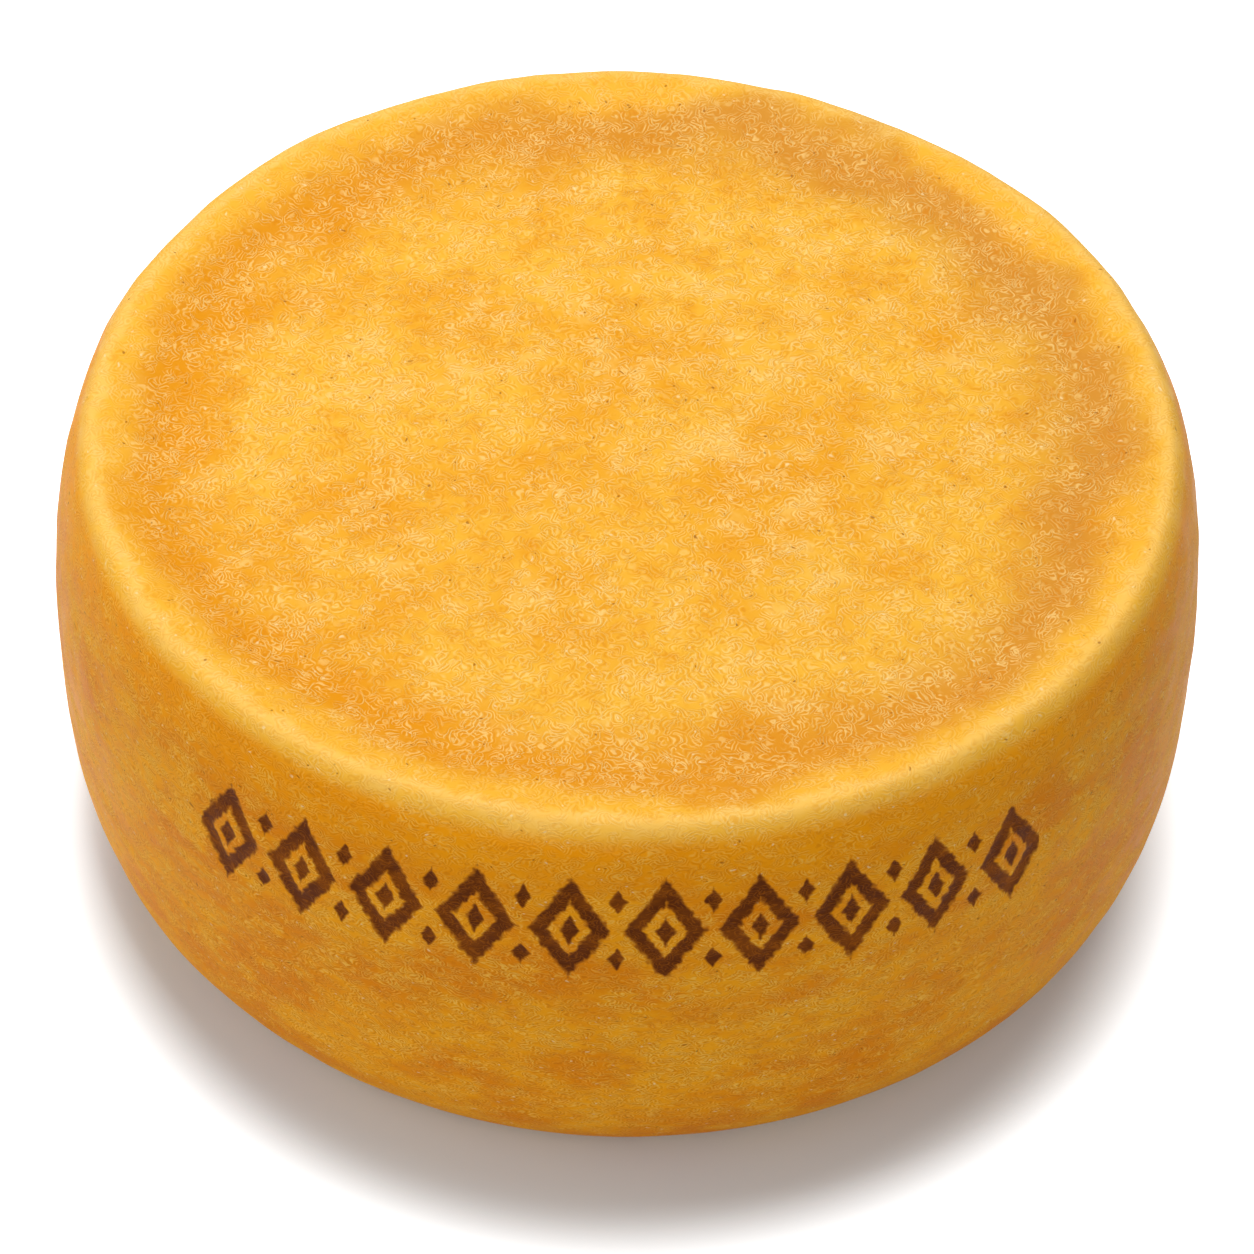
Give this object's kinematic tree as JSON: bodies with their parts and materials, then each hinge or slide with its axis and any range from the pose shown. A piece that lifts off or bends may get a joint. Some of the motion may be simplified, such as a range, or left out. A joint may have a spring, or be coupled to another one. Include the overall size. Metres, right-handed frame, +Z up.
{
  "type": "cheese wheel",
  "caption": "Whole round wheel of pressed semi-hard cheese with a golden rind, a bulging side, a pressed-in upper face inside a raised rim, and a plain pattern burnt round the side.",
  "frame": {"origin": "centre of the base, on the surface that the wheel lies on", "axes": "+Z up through the wheel's axis, -Y towards the front, where the burnt pattern is"},
  "size_m": [0.3002, 0.2994, 0.1235],
  "materials": {
    "rind": "satin"
  },
  "bodies": {
    "root": {"cheese_wheel": "rind"}
  },
  "joints": []
}
